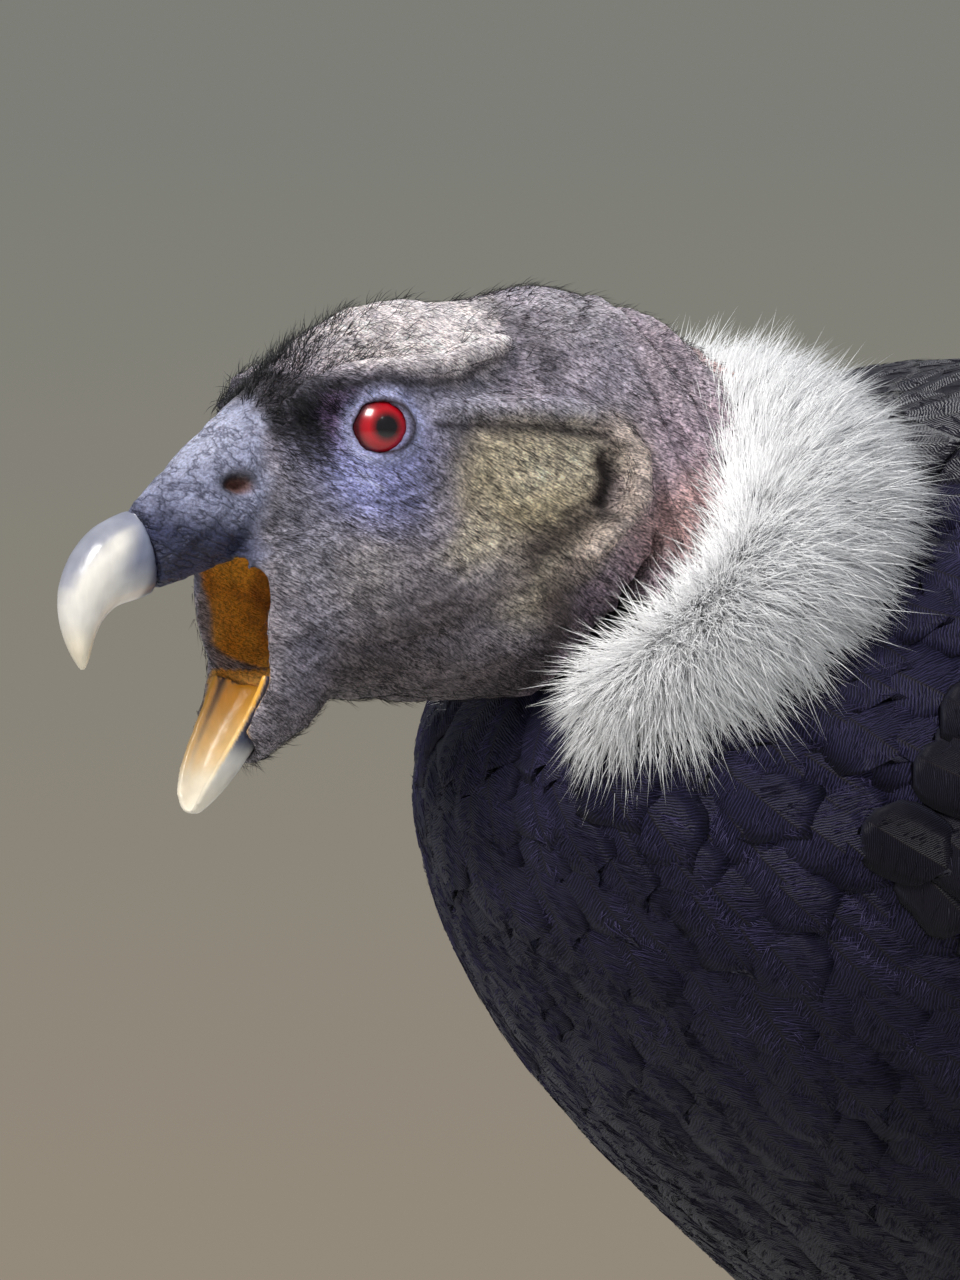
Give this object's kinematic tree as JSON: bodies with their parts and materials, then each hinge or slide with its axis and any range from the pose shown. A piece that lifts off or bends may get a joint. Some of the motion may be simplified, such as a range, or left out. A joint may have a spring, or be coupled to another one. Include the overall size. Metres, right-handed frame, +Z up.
{
  "type": "bird model",
  "caption": "Life-size standing Andean condor hen with folded wings, white down collar, bare wrinkled head, red eye and open hooked bill, as a still museum model.",
  "frame": {"origin": "Middle of the model's box at floor level, between the two feet; the bird stands on the floor at z = 0.", "axes": "The bird faces -Y with her head turned 7 degrees to her right, her left side is +X and +Z is up."},
  "size_m": [0.2974, 0.8954, 0.6339],
  "materials": {
    "bare_skin": "matte",
    "bill_horn": "satin",
    "eye": "gloss",
    "collar_down": "matte",
    "body_plumage": "matte",
    "flight_feathers": "matte",
    "leg_scales": "matte",
    "claw_horn": "satin"
  },
  "bodies": {
    "root": {"torso": "body_plumage", "neck": "bare_skin", "head": "bare_skin", "jaw": "bare_skin", "bill_upper": "bill_horn", "bill_lower": "bill_horn", "eye_left": "eye", "eye_right": "eye", "collar": "collar_down", "wing_left": "flight_feathers", "wing_right": "flight_feathers", "tail": "flight_feathers", "thigh_left": "body_plumage", "thigh_right": "body_plumage", "shank_left": "leg_scales", "shank_right": "leg_scales", "foot_left": "leg_scales", "foot_right": "leg_scales", "claw_inner_left": "claw_horn", "claw_middle_left": "claw_horn", "claw_outer_left": "claw_horn", "claw_hind_left": "claw_horn", "claw_inner_right": "claw_horn", "claw_middle_right": "claw_horn", "claw_outer_right": "claw_horn", "claw_hind_right": "claw_horn"}
  },
  "joints": []
}
